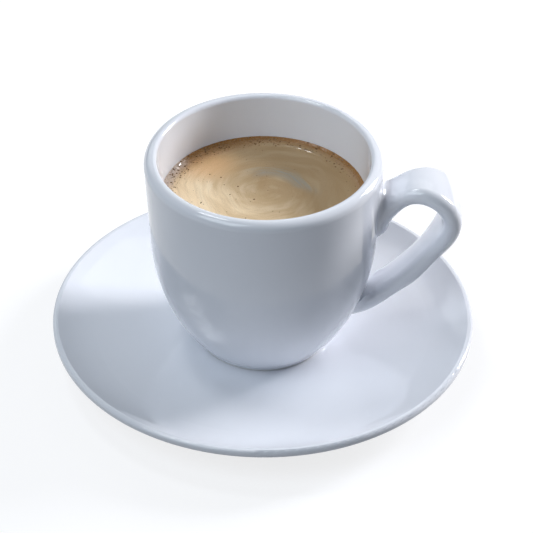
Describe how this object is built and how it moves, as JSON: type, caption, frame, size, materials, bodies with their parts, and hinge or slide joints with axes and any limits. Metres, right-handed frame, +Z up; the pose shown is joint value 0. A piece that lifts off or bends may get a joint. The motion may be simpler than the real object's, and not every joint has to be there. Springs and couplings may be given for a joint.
{
  "type": "cafe con leche",
  "caption": "Coffee with milk and a creamy foam top in a thick white porcelain cup with an ear-shaped handle, standing on a shallow round saucer.",
  "frame": {"origin": "centre of the saucer's foot ring, on the surface that the saucer stands on", "axes": "+Z up along the axis of the cup and the saucer, +X towards the cup's handle"},
  "size_m": [0.15, 0.15, 0.0845],
  "materials": {
    "glaze": "gloss",
    "coffee": "satin"
  },
  "bodies": {
    "root": {"saucer": "glaze", "cup": "glaze", "coffee": "coffee"}
  },
  "joints": []
}
